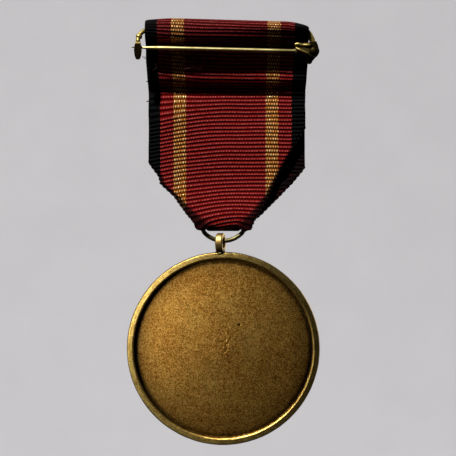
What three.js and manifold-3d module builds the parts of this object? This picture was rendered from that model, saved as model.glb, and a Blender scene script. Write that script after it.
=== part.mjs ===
// A round bronze medal on a folded striped ribbon, with a brooch pin across its back.
//
// The medal hangs upright: +Z is up, and its plain back faces -Y, as does the brooch.
// The origin is on the axis of the closed brooch pin, in the middle of the ribbon.
// Units are millimetres.
import * as THREE from 'three';
import { mergeVertices } from 'three/addons/utils/BufferGeometryUtils.js';
import Module from 'manifold-3d';

const wasm = await Module();
wasm.setup();

// ---------------------------------------------------------------- driving dimensions

const GAP = 0.2; // left between pieces that are soldered or sewn together

// Depths along Y, from the pin's axis.
const HANG_Y = 6.1; // the plane that the ring and the disc hang in

// Ribbon: one band of cloth, closed into a long flat loop.
const RIBBON_WIDTH = 30;
const CLOTH = 0.6;
const SHOULDER_Z = -22.6; // where the sides start to turn in
const FOLD_HALF_WIDTH = 2.9; // of the bottom fold, inside the ring
const TIP_HALF_WIDTH = 5.3; // of the two layers just above the ring
const TIP_Z = -33.4;
const STITCH_Z = -7.3;

// Brooch: a bar in the ribbon's top fold, a catch at its left end, a hinge at its right.
const BAR = { halfLength: 14.3, rear: 0.3, front: 1.1, bottom: 1.85, top: 3.65 };
const PIN_RADIUS = 0.4;
const PIN_TIP_X = -18;
const PIVOT = { x: 16.2, z: -0.9 };
const RIVET_RADIUS = 0.35;
const BORE_RADIUS = 0.45;
const EAR_RADIUS = 1.15;
const SHEET = 0.4; // brass sheet of the hinge and the catch
const EAR_INSIDE = 0.65; // half the space between the hinge's ears

// Suspension: a flattened wire ring and the lug that it carries.
const HANG_X = -0.7; // the ring and the disc hang a little left of the ribbon's middle
const WIRE_RADIUS = 0.425;
const RING_LOW_Z = -36.6; // wire centre at the bottom of the ring
const RING_HEIGHT = 3.9; // between the wire's centres
const RING_LOWER_RADIUS = 5;
const RING_UPPER_RADIUS = 9;
const RING_END_RADIUS = 1.1;
const EYE_X = -1.25;
const EYE_RADIUS = 1.95;
const EYE_HOLE = 1.1;
const EYE_PLAY = 0.28; // above the wire, whose arc rises towards the lug's faces
const EYE_THICKNESS = 1.3;
const EYE_TURN = THREE.MathUtils.degToRad(-12); // brazed on a few degrees off square

// Disc: struck bronze, with a raised rim on both faces.
const DISC_RADIUS = 18.5;
const DISC_HALF_THICKNESS = 1.1;
const DISC_TOP_BELOW_WIRE = 2.1;
const RIM_INNER = 17.4;
const RECESS = 0.8; // depth of the back's field below its rim
const DOME = 0.3; // how far the field's middle stands above its edge
const FRONT_RECESS = 0.55;

// ---------------------------------------------------------------- helpers

// The directions that a flat outline's own x and y, and its depth, point along.
const X = new THREE.Vector3(1, 0, 0);
const Y = new THREE.Vector3(0, 1, 0);
const Z = new THREE.Vector3(0, 0, 1);
const MINUS_Y = new THREE.Vector3(0, -1, 0);
const SIDE_VIEW = new THREE.Matrix4().makeBasis(Y, Z, X); // outline in Y and Z, depth along +X
const BACK_VIEW = new THREE.Matrix4().makeBasis(X, Z, MINUS_Y); // outline in X and Z, depth along -Y

function toSolid(geometry) {
  const bare = geometry.clone();
  bare.deleteAttribute('normal');
  bare.deleteAttribute('uv');
  const merged = mergeVertices(bare, 1e-5);
  const vertProperties = Float32Array.from(merged.attributes.position.array);
  const triVerts = Uint32Array.from(merged.index.array);
  return new wasm.Manifold(new wasm.Mesh({ numProp: 3, vertProperties, triVerts }));
}

function toGeometry(solid) {
  const mesh = solid.getMesh();
  const geometry = new THREE.BufferGeometry();
  geometry.setAttribute('position', new THREE.BufferAttribute(mesh.vertProperties, 3));
  geometry.setIndex(new THREE.BufferAttribute(mesh.triVerts, 1));
  geometry.computeVertexNormals();
  return geometry;
}

// A closed outline of [x, y] points, pushed from one depth to another.
function slab(points, view, from, to, holes = []) {
  const shape = new THREE.Shape(points.map(([x, y]) => new THREE.Vector2(x, y)));
  for (const hole of holes) {
    shape.holes.push(new THREE.Path(hole.map(([x, y]) => new THREE.Vector2(x, y))));
  }
  const geometry = new THREE.ExtrudeGeometry(shape, { depth: to - from, bevelEnabled: false });
  geometry.translate(0, 0, from);
  return toSolid(geometry.applyMatrix4(view));
}

// A slab in the plane of the medal's back, between two depths along Y.
function plate(points, rear, front, holes = []) {
  return slab(points, BACK_VIEW, -front, -rear, holes);
}

function arc(cx, cy, radius, fromDegrees, toDegrees, steps) {
  const points = [];
  for (let i = 0; i <= steps; i++) {
    const a = THREE.MathUtils.degToRad(fromDegrees + ((toDegrees - fromDegrees) * i) / steps);
    points.push([cx + radius * Math.cos(a), cy + radius * Math.sin(a)]);
  }
  return points;
}

function circle(cx, cy, radius, steps) {
  return arc(cx, cy, radius, 0, 360 - 360 / steps, steps - 1);
}

// A rod of round section along a curve.
function rod(curve, radius, steps, sides) {
  const section = new THREE.Shape(circle(0, 0, radius, sides).map(([x, y]) => new THREE.Vector2(x, y)));
  const geometry = new THREE.ExtrudeGeometry(section, { steps, extrudePath: curve, bevelEnabled: false });
  return toSolid(geometry);
}

function smooth(points) {
  return new THREE.CatmullRomCurve3(points.map(([x, y, z]) => new THREE.Vector3(x, y, z)));
}

// A turned shape about the Y axis: [radius, y] points from the back (-Y) to the front.
function turned(profile, segments) {
  const points = profile.map(([r, y]) => new THREE.Vector2(r, y));
  return toSolid(new THREE.LatheGeometry(points, segments));
}

function metal(color, roughness) {
  return new THREE.MeshStandardMaterial({ color, roughness, metalness: 1 });
}

function cloth(color) {
  return new THREE.MeshStandardMaterial({ color, roughness: 0.9, metalness: 0 });
}

const group = new THREE.Group();

function addPiece(name, solid, material) {
  const mesh = new THREE.Mesh(toGeometry(solid), material);
  mesh.name = name;
  group.add(mesh);
  return mesh;
}

// ---------------------------------------------------------------- disc

const DISC_Z = RING_LOW_Z - DISC_TOP_BELOW_WIRE - DISC_RADIUS;

function discBody() {
  const rear = -DISC_HALF_THICKNESS;
  const front = DISC_HALF_THICKNESS;
  const field = rear + RECESS;
  const dome = [];
  const domeSteps = 6;
  for (let i = 0; i <= domeSteps; i++) {
    const share = i / domeSteps;
    dome.push([(RIM_INNER - 0.25) * share, field - DOME * (1 - share * share)]);
  }
  return turned(
    [
      ...dome,
      [RIM_INNER, field - 0.1],
      [RIM_INNER + 0.15, rear + 0.15],
      [RIM_INNER + 0.27, rear],
      [DISC_RADIUS - 0.25, rear],
      [DISC_RADIUS - 0.06, rear + 0.12],
      [DISC_RADIUS, rear + 0.3],
      [DISC_RADIUS, front - 0.3],
      [DISC_RADIUS - 0.06, front - 0.12],
      [DISC_RADIUS - 0.25, front],
      [RIM_INNER + 0.2, front],
      [RIM_INNER, front - 0.12],
      [RIM_INNER - 0.15, front - FRONT_RECESS],
      [0, front - FRONT_RECESS],
    ],
    72,
  );
}

// The front's relief: a plain star inside a wreath of leaves, lowest points sunk in the field.
function star(outer, inner) {
  const points = [];
  for (let i = 0; i < 10; i++) {
    const a = Math.PI / 2 + (i * Math.PI) / 5;
    const r = i % 2 === 0 ? outer : inner;
    points.push([r * Math.cos(a), r * Math.sin(a)]);
  }
  return points;
}

function leaf(length, width) {
  const half = length / 2;
  const points = [];
  for (const [side, start] of [[1, -half], [-1, half]]) {
    for (let i = 0; i < 4; i++) {
      const along = start + (side * length * i) / 4;
      const share = (along / half) ** 2;
      points.push([along, -side * (width / 2) * (1 - share)]);
    }
  }
  return points;
}

function relief() {
  const field = DISC_HALF_THICKNESS - FRONT_RECESS;
  const sunk = field - 0.15;
  let solid = plate(star(6.2, 2.5), sunk, field + 0.4);
  const leavesPerSide = 9;
  const wreathRadius = 13;
  for (const side of [-1, 1]) {
    for (let i = 0; i < leavesPerSide; i++) {
      const around = THREE.MathUtils.degToRad(-90 + side * (14 + i * 17));
      for (const lean of [-1, 1]) {
        const turn = around + side * (Math.PI / 2) + lean * 0.5;
        const radius = wreathRadius - lean * side * 0.85;
        const cx = radius * Math.cos(around);
        const cz = radius * Math.sin(around);
        const points = leaf(3.4, 1.15).map(([u, v]) => [
          cx + u * Math.cos(turn) - v * Math.sin(turn),
          cz + u * Math.sin(turn) + v * Math.cos(turn),
        ]);
        solid = solid.add(plate(points, sunk, field + 0.3));
      }
    }
  }
  return solid;
}

const bronze = metal(0x8f6a2c, 0.45);

const disc = addPiece('medal_disc', discBody().add(relief()), bronze);
disc.position.set(HANG_X, HANG_Y, DISC_Z);

// ---------------------------------------------------------------- suspension eye

// A round lug that stands on the disc's edge. Its hole runs from side to side for the ring.
function suspensionEye() {
  const centreZ = RING_LOW_Z - (EYE_HOLE - WIRE_RADIUS - EYE_PLAY);
  const half = EYE_THICKNESS / 2;
  const outline = circle(0, 0, EYE_RADIUS, 28);
  const hole = circle(0, 0, EYE_HOLE, 20);
  const lug = slab(outline, SIDE_VIEW, -half, half, [hole]);
  const turn = new THREE.Matrix4().makeRotationZ(EYE_TURN);
  turn.setPosition(EYE_X, HANG_Y, centreZ);
  const edge = turned([[0, -4], [DISC_RADIUS + GAP, -4], [DISC_RADIUS + GAP, 4], [0, 4]], 180);
  return lug.transform(turn.elements).subtract(edge.translate([HANG_X, HANG_Y, DISC_Z]));
}

addPiece('suspension_eye', suspensionEye(), metal(0xa98a45, 0.35));

// ---------------------------------------------------------------- suspension ring

// Two shallow arcs joined by small round ends. The wire's ends butt together at the top.
function ringPath() {
  const lowerCentre = RING_LOWER_RADIUS;
  const upperCentre = RING_HEIGHT - RING_UPPER_RADIUS;
  const toLower = RING_LOWER_RADIUS - RING_END_RADIUS;
  const toUpper = RING_UPPER_RADIUS - RING_END_RADIUS;
  const endZ =
    (toUpper ** 2 - toLower ** 2 + lowerCentre ** 2 - upperCentre ** 2) / (2 * (lowerCentre - upperCentre));
  const endX = Math.sqrt(toLower ** 2 - (endZ - lowerCentre) ** 2);
  const degrees = THREE.MathUtils.radToDeg;
  const lowerTurn = degrees(Math.atan2(endZ - lowerCentre, endX));
  const upperTurn = degrees(Math.atan2(endZ - upperCentre, endX));
  const buttGap = 1;
  const flat = [
    ...arc(0, upperCentre, RING_UPPER_RADIUS, 90 + buttGap, 180 - upperTurn, 6),
    ...arc(-endX, endZ, RING_END_RADIUS, 180 - upperTurn, 180 - lowerTurn, 8).slice(1),
    ...arc(0, lowerCentre, RING_LOWER_RADIUS, 180 - lowerTurn, 360 + lowerTurn, 14).slice(1),
    ...arc(endX, endZ, RING_END_RADIUS, lowerTurn, upperTurn, 8).slice(1),
    ...arc(0, upperCentre, RING_UPPER_RADIUS, upperTurn, 90 - buttGap, 6).slice(1),
  ];
  return smooth(flat.map(([x, z]) => [HANG_X + x, HANG_Y, RING_LOW_Z + z]));
}

addPiece('suspension_ring', rod(ringPath(), WIRE_RADIUS, 64, 10), metal(0xa8873f, 0.3));

// ---------------------------------------------------------------- ribbon

// The middle of the cloth, as Y and Z points round the loop, from the bottom fold up the
// front, over the brooch bar, down the back and through the sewn pinch.
const CLOTH_PATH = [
  [HANG_Y, -33.93],
  [7.25, -33.45],
  [7.65, -32.4],
  [7.45, -30.5],
  [7.05, -27],
  [6.95, -18],
  [6.9, STITCH_Z],
  [6.95, -1.6],
  [6.5, 1.2],
  [5.0, 3.5],
  [2.9, 4.65],
  [0.9, 4.6],
  [-0.45, 3.6],
  [-0.65, 2.2],
  [0.1, 1.1],
  [1.8, 0.55],
  [3.6, -0.6],
  [4.8, -2.4],
  [5.2, -4.4],
  [6.05, STITCH_Z],
  [5.35, -10.5],
  [5.25, -16],
  [5.2, -26],
  [4.75, -30.5],
  [4.55, -32.4],
  [4.95, -33.45],
];

function clothLoop() {
  const middle = new THREE.CatmullRomCurve3(
    CLOTH_PATH.map(([y, z]) => new THREE.Vector3(0, y, z)),
    true,
    'centripetal',
  );
  const steps = 88;
  const outer = [];
  const inner = [];
  for (let i = 0; i < steps; i++) {
    const point = middle.getPointAt(i / steps);
    const along = middle.getTangentAt(i / steps);
    const outY = (along.z * CLOTH) / 2;
    const outZ = (-along.y * CLOTH) / 2;
    outer.push([point.y + outY, point.z + outZ]);
    inner.push([point.y - outY, point.z - outZ]);
  }
  return slab(outer, SIDE_VIEW, -RIBBON_WIDTH / 2, RIBBON_WIDTH / 2, [inner]);
}

// The ribbon's outline from the back: straight sides that turn in to a V.
function clothOutline() {
  const side = RIBBON_WIDTH / 2 + 1;
  const edge = RIBBON_WIDTH / 2 - 0.3;
  const tip = TIP_HALF_WIDTH;
  const fold = FOLD_HALF_WIDTH;
  return [
    [-side, 8],
    [-side, SHOULDER_Z + 3],
    [-edge, SHOULDER_Z],
    [-12.8, SHOULDER_Z - 3],
    [HANG_X - tip, TIP_Z + 0.4],
    [HANG_X - tip + 0.6, TIP_Z],
    [HANG_X - fold, TIP_Z],
    [HANG_X - fold, TIP_Z - 3],
    [HANG_X + fold, TIP_Z - 3],
    [HANG_X + fold, TIP_Z],
    [HANG_X + tip - 0.6, TIP_Z],
    [HANG_X + tip, TIP_Z + 0.4],
    [12.6, SHOULDER_Z - 3.6],
    [edge, SHOULDER_Z - 0.8],
    [side, SHOULDER_Z + 3],
    [side, 8],
  ];
}

// A running stitch through both layers, from left to right.
const STITCH_PITCH = 4.4;
const STITCHES = 6;
const THREAD_RADIUS = 0.13;
const STITCH_REAR = 5.5;
const STITCH_FRONT = 7.45;

function stitchPath() {
  const points = [];
  const start = (-STITCH_PITCH * STITCHES) / 2;
  for (let i = 0; i < STITCHES; i++) {
    const x = start + i * STITCH_PITCH;
    points.push([x, STITCH_REAR + 0.15, STITCH_Z]);
    points.push([x + 0.35, STITCH_REAR, STITCH_Z]);
    points.push([x + 2.05, STITCH_REAR, STITCH_Z]);
    points.push([x + 2.4, STITCH_REAR + 0.35, STITCH_Z]);
    points.push([x + 2.5, STITCH_FRONT - 0.35, STITCH_Z]);
    points.push([x + 2.85, STITCH_FRONT, STITCH_Z]);
    points.push([x + 4.0, STITCH_FRONT, STITCH_Z]);
    points.push([x + 4.3, STITCH_FRONT - 0.35, STITCH_Z]);
  }
  return smooth(points);
}

const STITCH_STEPS = 170;
const tunnel = rod(stitchPath(), THREAD_RADIUS + 0.14, STITCH_STEPS, 6);
const ribbonSolid = clothLoop()
  .intersect(plate(clothOutline(), -10, 20))
  .subtract(tunnel);

addPiece('ribbon', ribbonSolid, cloth(0x7d1216));
addPiece('ribbon_stitching', rod(stitchPath(), THREAD_RADIUS, STITCH_STEPS, 6), cloth(0x4a0d10));

// ---------------------------------------------------------------- brooch

const brass = metal(0xb08d3a, 0.3);

function broochBar() {
  const rounding = 0.5;
  const end = BAR.halfLength;
  const outline = [
    ...arc(end - rounding, BAR.top - rounding, rounding, 0, 90, 3),
    ...arc(-end + rounding, BAR.top - rounding, rounding, 90, 180, 3),
    ...arc(-end + rounding, BAR.bottom + rounding, rounding, 180, 270, 3),
    ...arc(end - rounding, BAR.bottom + rounding, rounding, 270, 360, 3),
  ];
  return plate(outline, BAR.rear, BAR.front);
}

addPiece('brooch_bar', broochBar(), brass);

// The catch: a bent arm from the bar's end, a collar, and a lip that hangs over the pin.
const CATCH_X = -16.7;
const CATCH_HALF_WIDTH = 0.7;
const LIP_Z = -2.4;

function pinCatch() {
  const armStart = -BAR.halfLength - 0.3;
  const arm = rod(
    smooth([
      [armStart, 0.58, 3.2],
      [armStart - 0.9, 0.5, 3.05],
      [CATCH_X + 0.35, 0.0, 2.3],
      [CATCH_X + 0.05, -0.35, 1.6],
      [CATCH_X, -0.6, 0.95],
    ]),
    0.45,
    12,
    8,
  );
  const collar = rod(
    new THREE.LineCurve3(
      new THREE.Vector3(CATCH_X + 0.22, -0.18, 2.0),
      new THREE.Vector3(CATCH_X + 0.13, -0.3, 1.74),
    ),
    0.62,
    1,
    12,
  );
  const inside = -0.58;
  const outside = inside - SHEET;
  const top = 1.1;
  const lipSide = [
    ...arc(inside + 0.1, top - 0.5, 0.1 + SHEET, 90, 180, 4),
    [outside, LIP_Z + 0.3],
    [outside + 0.12, LIP_Z],
    [inside + 0.02, LIP_Z],
    ...arc(inside + 0.1, top - 0.5, 0.1, 180, 90, 2),
    [0.3, top - 0.4],
    [0.3, top],
  ];
  const band = slab(lipSide, SIDE_VIEW, CATCH_X - CATCH_HALF_WIDTH, CATCH_X + CATCH_HALF_WIDTH);
  const face = [
    ...arc(CATCH_X, LIP_Z + 0.55, 0.5, 180, 360, 8),
    [CATCH_X + CATCH_HALF_WIDTH, -0.7],
    [CATCH_X + CATCH_HALF_WIDTH, -0.1],
    [CATCH_X + 0.5, 0.9],
    [CATCH_X + 0.4, top + 0.1],
    [CATCH_X - 0.4, top + 0.1],
    [CATCH_X - 0.6, 0.5],
    [CATCH_X - CATCH_HALF_WIDTH, -0.5],
  ];
  return band.intersect(plate(face, -3, 3)).add(arm).add(collar);
}

addPiece('pin_catch', pinCatch(), brass);

// The hinge: two ears of folded sheet with the pin's root between them, and an arm to the bar.
function hingeBracket() {
  const outside = EAR_INSIDE + SHEET;
  const bore = circle(PIVOT.x, PIVOT.z, BORE_RADIUS, 16);
  const shoulderZ = 0.5;
  const webTop = shoulderZ + SHEET;
  const rearEar = [
    ...arc(PIVOT.x, PIVOT.z, EAR_RADIUS, -150, 0, 10),
    [PIVOT.x + EAR_RADIUS - 0.3, webTop - 0.25],
    [PIVOT.x + EAR_RADIUS - 0.55, webTop],
    [PIVOT.x - 0.7, webTop],
    [PIVOT.x - 0.95, webTop - 0.3],
    [12.9, 0.42],
    [12.7, 0.1],
    [12.9, -0.2],
  ];
  const frontEar = [
    ...arc(PIVOT.x, PIVOT.z, EAR_RADIUS, -60, 0, 5),
    [PIVOT.x + EAR_RADIUS - 0.3, webTop - 0.25],
    [PIVOT.x + EAR_RADIUS - 0.55, webTop],
    [PIVOT.x - 0.7, webTop],
    ...arc(PIVOT.x, PIVOT.z, EAR_RADIUS, 160, 215, 4),
    ...arc(PIVOT.x - 0.65, PIVOT.z - 1.75, 0.55, 180, 360, 6),
  ];
  const web = [
    [PIVOT.x - 0.7, shoulderZ],
    [PIVOT.x + 0.7, shoulderZ],
    [PIVOT.x + 0.6, webTop],
    [PIVOT.x - 0.7, webTop],
  ];
  const arm = [
    [BAR.halfLength + 0.3, 2.2],
    [15.2, 2.1],
    [PIVOT.x - 0.5, shoulderZ + 0.1],
    [PIVOT.x + 0.6, shoulderZ + 0.1],
    [PIVOT.x + 0.55, 1.5],
    [PIVOT.x, 2.7],
    [15.5, 3.4],
    [BAR.halfLength + 0.3, 3.5],
  ];
  return plate(rearEar, -outside, -EAR_INSIDE, [bore])
    .add(plate(frontEar, EAR_INSIDE, outside, [bore]))
    .add(plate(web, -outside, outside))
    .add(plate(arm, 0.3, 0.85));
}

addPiece('hinge_bracket', hingeBracket(), brass);

function hingeRivet() {
  const headStart = EAR_INSIDE + SHEET + 0.12;
  const headEnd = headStart + 0.35;
  const headRadius = 0.7;
  return turned(
    [
      [0, -headEnd],
      [headRadius * 0.65, -headEnd + 0.08],
      [headRadius, -headStart - 0.08],
      [headRadius, -headStart],
      [RIVET_RADIUS, -headStart],
      [RIVET_RADIUS, headStart],
      [headRadius, headStart],
      [headRadius, headStart + 0.08],
      [headRadius * 0.65, headEnd - 0.08],
      [0, headEnd],
    ],
    20,
  );
}

addPiece('hinge_rivet', hingeRivet(), brass).position.set(PIVOT.x, 0, PIVOT.z);

// The pin: a round tapered wire whose root is hammered flat and bored for the rivet.
function pinWire() {
  const rootX = 12.6;
  const taperX = -12.5;
  const shaft = turned(
    [
      [0, PIN_TIP_X],
      [0.07, PIN_TIP_X + 0.05],
      [0.2, PIN_TIP_X + 1.6],
      [PIN_RADIUS * 0.85, taperX - 1.5],
      [PIN_RADIUS, taperX],
      [PIN_RADIUS, rootX + 0.5],
      [0, rootX + 0.5],
    ],
    14,
  );
  const alongX = new THREE.Matrix4().makeBasis(Y.clone().negate(), X, Z);
  const flat = 0.36;
  const eyeRadius = 0.98;
  const root = [
    ...arc(PIVOT.x, PIVOT.z, eyeRadius, -125, 80, 14),
    [rootX + 0.6, PIN_RADIUS - 0.02],
    [rootX, PIN_RADIUS - 0.1],
    [rootX, -PIN_RADIUS + 0.1],
    [rootX + 0.6, -PIN_RADIUS + 0.02],
  ];
  const bore = circle(PIVOT.x, PIVOT.z, BORE_RADIUS, 16);
  return shaft.transform(alongX.elements).add(plate(root, -flat, flat, [bore]));
}

addPiece('pin_wire', pinWire(), metal(0xbfa45c, 0.25));

export default group;
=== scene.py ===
"""A round bronze medal on a folded striped ribbon with a brooch pin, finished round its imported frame.

Lengths are in millimetres in the code and become metres when a mesh is made. The frame is the CAD's:
+Z up, the medal's plain back and its brooch face -Y, and the origin is on the closed pin's axis.
"""

import math
import random

import bmesh
import bpy
import numpy as np
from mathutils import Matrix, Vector, noise

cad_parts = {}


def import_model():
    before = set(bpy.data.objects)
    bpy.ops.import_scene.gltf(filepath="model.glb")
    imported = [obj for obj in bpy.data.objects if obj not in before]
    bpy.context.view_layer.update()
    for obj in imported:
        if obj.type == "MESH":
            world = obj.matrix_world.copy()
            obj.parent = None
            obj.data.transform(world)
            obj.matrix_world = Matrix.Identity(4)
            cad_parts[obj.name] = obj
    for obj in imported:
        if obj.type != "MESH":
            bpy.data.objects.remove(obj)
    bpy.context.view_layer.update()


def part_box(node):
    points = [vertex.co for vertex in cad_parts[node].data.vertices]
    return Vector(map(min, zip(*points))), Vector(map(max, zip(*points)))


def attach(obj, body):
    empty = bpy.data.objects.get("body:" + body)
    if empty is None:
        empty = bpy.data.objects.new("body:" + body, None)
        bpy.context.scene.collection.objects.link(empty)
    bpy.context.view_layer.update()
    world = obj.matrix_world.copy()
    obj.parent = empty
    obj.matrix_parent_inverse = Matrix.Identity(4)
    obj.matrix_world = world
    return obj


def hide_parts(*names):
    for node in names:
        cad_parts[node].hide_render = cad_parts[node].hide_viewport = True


MM = 0.001
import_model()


def box_mm(node):
    """Lowest and highest corners of a CAD node, in millimetres."""
    low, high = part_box(node)
    return np.array(low) / MM, np.array(high) / MM


# ---------- sizes taken from the frame

DISC_LOW, DISC_HIGH = box_mm("medal_disc")
DISC_X, HANG_Y, DISC_Z = (DISC_HIGH + DISC_LOW) / 2
DISC_RADIUS, DISC_HALF_THICKNESS, _ = (DISC_HIGH - DISC_LOW) / 2

RING_LOW, RING_HIGH = box_mm("suspension_ring")
EYE_LOW, EYE_HIGH = box_mm("suspension_eye")
BAR_LOW, BAR_HIGH = box_mm("brooch_bar")
PIVOT_X, _, PIVOT_Z = sum(box_mm("hinge_rivet")) / 2
PIN_TIP_X = box_mm("pin_wire")[0][0]
RIBBON_LOW, RIBBON_HIGH = box_mm("ribbon")
RIBBON_WIDTH = RIBBON_HIGH[0] - RIBBON_LOW[0]


# ---------- mesh helpers


def in_scene(name, data):
    """A new object in the scene."""
    thing = bpy.data.objects.new(name, data)
    bpy.context.scene.collection.objects.link(thing)
    return thing


def mesh_object(name, points, faces, material):
    """A smooth-shaded mesh object from points in millimetres."""
    mesh = bpy.data.meshes.new(name)
    mesh.from_pydata((np.asarray(points, float) * MM).tolist(), [], [list(map(int, f)) for f in faces])
    mesh.validate()
    work = bmesh.new()
    work.from_mesh(mesh)
    bmesh.ops.recalc_face_normals(work, faces=work.faces)
    work.to_mesh(mesh)
    work.free()
    mesh.polygons.foreach_set("use_smooth", [True] * len(mesh.polygons))
    mesh.materials.append(material)
    return in_scene(name, mesh)


def grid_faces(rows, columns, wrap_rows=False, wrap_columns=False):
    """Quads of a grid whose points are numbered row by row."""
    last_row = rows if wrap_rows else rows - 1
    last_column = columns if wrap_columns else columns - 1
    r, c = np.meshgrid(np.arange(last_row), np.arange(last_column), indexing="ij")
    next_r, next_c = (r + 1) % rows, (c + 1) % columns
    corners = [r * columns + c, r * columns + next_c, next_r * columns + next_c, next_r * columns + c]
    return np.stack(corners, -1).reshape(-1, 4)


def lengths(vectors):
    return np.linalg.norm(vectors, axis=-1)


def unit(vectors):
    return vectors / lengths(vectors)[..., None]


def past(values, start, reach):
    """0 up to start, rising to 1 over reach."""
    return np.clip((values - start) / reach, 0, 1)


def before(values, end, reach):
    """1 at first, falling to 0 over reach up to end."""
    return np.clip((end - values) / reach, 0, 1)


def bell(values, middle, width):
    return np.exp(-(((values - middle) / width) ** 2))


def spline(points, steps, closed=False):
    """A smooth curve through points (centripetal Catmull-Rom), resampled at even lengths."""
    points = np.asarray(points, float)
    if closed:
        padded = np.vstack([points[-1], points, points[0], points[1]])
    else:
        padded = np.vstack([2 * points[0] - points[1], points, 2 * points[-1] - points[-2]])
    dense = []
    for a, b, c, d in zip(padded, padded[1:], padded[2:], padded[3:]):
        gaps = np.maximum([lengths(b - a), lengths(c - b), lengths(d - c)], 1e-6) ** 0.5
        k0, k1, k2, k3 = np.append(0, np.cumsum(gaps))
        t = np.linspace(k1, k2, 24, endpoint=False)[:, None]
        ab = (k1 - t) / (k1 - k0) * a + (t - k0) / (k1 - k0) * b
        bc = (k2 - t) / (k2 - k1) * b + (t - k1) / (k2 - k1) * c
        cd = (k3 - t) / (k3 - k2) * c + (t - k2) / (k3 - k2) * d
        left = (k2 - t) / (k2 - k0) * ab + (t - k0) / (k2 - k0) * bc
        right = (k3 - t) / (k3 - k1) * bc + (t - k1) / (k3 - k1) * cd
        dense.append((k2 - t) / (k2 - k1) * left + (t - k1) / (k2 - k1) * right)
    dense = np.vstack(dense + [points[:1] if closed else points[-1:]])
    length = np.append(0, np.cumsum(lengths(np.diff(dense, axis=0))))
    wanted = np.linspace(0, length[-1], steps, endpoint=not closed)
    return np.stack([np.interp(wanted, length, dense[:, i]) for i in range(dense.shape[1])], 1)


def frames_along(path):
    """Tangent, side and up vectors at each point of a path, without twist."""
    tangents = unit(np.gradient(path, axis=0))
    side = np.cross(tangents[0], [0.3, 1.0, 0.2])
    sides = []
    for tangent in tangents:
        side = unit(side - tangent * np.dot(side, tangent))
        sides.append(side)
    sides = np.array(sides)
    return tangents, sides, np.cross(tangents, sides)


def tube(path, radii, sides=16):
    """Points and faces of a round rod along a path, with domed ends."""
    path = np.asarray(path, float)
    radii = np.broadcast_to(np.asarray(radii, float), len(path)).copy()
    tangents, across, up = frames_along(path)

    def dome(end, outwards, angles):
        """Shrinking rings past one end, half as deep as the rod is thick."""
        reach = outwards * 0.5 * radii[end] * tangents[end]
        return [(path[end] + reach * math.sin(a), radii[end] * max(math.cos(a), 1e-3), end) for a in angles]

    steps = np.radians([90, 60, 30])
    rings = dome(0, -1, steps) + [(path[i], radii[i], i) for i in range(len(path))] + dome(-1, 1, steps[::-1])
    points = []
    for centre, radius, i in rings:
        for a in np.linspace(0, 2 * math.pi, sides, endpoint=False):
            points.append(centre + radius * (math.cos(a) * across[i] + math.sin(a) * up[i]))
    faces = grid_faces(len(rings), sides, wrap_columns=True).tolist()
    faces.append(list(range(sides)))
    faces.append([len(points) - 1 - i for i in range(sides)])
    return np.array(points), faces


def rod(points, steps, shares, radii, sides):
    """A tube through points whose radius is given at shares of its length."""
    return tube(spline(points, steps), np.interp(np.linspace(0, 1, steps), shares, radii), sides)


def lathe(profile, segments):
    """Points and faces of a shape turned about the Y axis, from [radius, y] points; both ends on the axis."""
    angles = np.linspace(0, 2 * math.pi, segments, endpoint=False)
    inner = [(r, y) for r, y in profile[1:-1]]
    points = [[r * math.cos(a), y, r * math.sin(a)] for r, y in inner for a in angles]
    faces = grid_faces(len(inner), segments, wrap_columns=True).tolist()
    first, last = len(points), len(points) + 1
    points += [[0, profile[0][1], 0], [0, profile[-1][1], 0]]
    bottom = (len(inner) - 1) * segments
    for i in range(segments):
        following = (i + 1) % segments
        faces.append([first, following, i])
        faces.append([last, bottom + i, bottom + following])
    return np.array(points), faces


def arc(cx, cy, radius, from_degrees, to_degrees, steps):
    """Points on part of a circle, both ends included."""
    angles = np.radians(np.linspace(from_degrees, to_degrees, steps + 1))
    return [[cx + radius * math.cos(a), cy + radius * math.sin(a)] for a in angles]


def plate(outline, rear, front, hole=None):
    """A flat piece in the plane of the medal's back, as a bmesh, with an optional round hole."""
    work = bmesh.new()
    rings = [outline] + ([hole] if hole else [])
    edges = []
    for ring in rings:
        verts = [work.verts.new((x, rear, z)) for x, z in ring]
        edges += [work.edges.new((a, b)) for a, b in zip(verts, verts[1:] + verts[:1])]
    bmesh.ops.triangle_fill(work, edges=edges, use_beauty=True)
    made = bmesh.ops.extrude_face_region(work, geom=work.faces[:])
    raised = [v for v in made["geom"] if isinstance(v, bmesh.types.BMVert)]
    bmesh.ops.translate(work, verts=raised, vec=(0, front - rear, 0))
    bmesh.ops.recalc_face_normals(work, faces=work.faces)
    points = [v.co[:] for v in work.verts]
    work.verts.index_update()
    faces = [[v.index for v in f.verts] for f in work.faces]
    work.free()
    return np.array(points), faces


def joined(parts):
    """Several (points, faces) as one."""
    points, faces, start = [], [], 0
    for part_points, part_faces in parts:
        points.append(np.asarray(part_points, float))
        faces += [[int(i) + start for i in face] for face in part_faces]
        start += len(part_points)
    return np.vstack(points), faces


def fused(name, parts, material, voxel, rounds):
    """Closed parts fused into one skin with softened edges, as brazing and tumbling leave them."""
    points, faces = joined(parts)
    thing = mesh_object(name, points, faces, material)
    remesh = thing.modifiers.new("fuse", "REMESH")
    remesh.mode = "VOXEL"
    remesh.voxel_size = voxel * MM
    remesh.use_smooth_shade = True
    soften = thing.modifiers.new("soften", "SMOOTH")
    soften.factor = 0.5
    soften.iterations = rounds
    graph = bpy.context.evaluated_depsgraph_get()
    final = bpy.data.meshes.new_from_object(thing.evaluated_get(graph))
    thing.modifiers.clear()
    thing.data = final
    final.polygons.foreach_set("use_smooth", [True] * len(final.polygons))
    point_attribute(thing, "rubbed", np.clip(standing_out(thing) * 5, 0, 1))
    return thing


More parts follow.
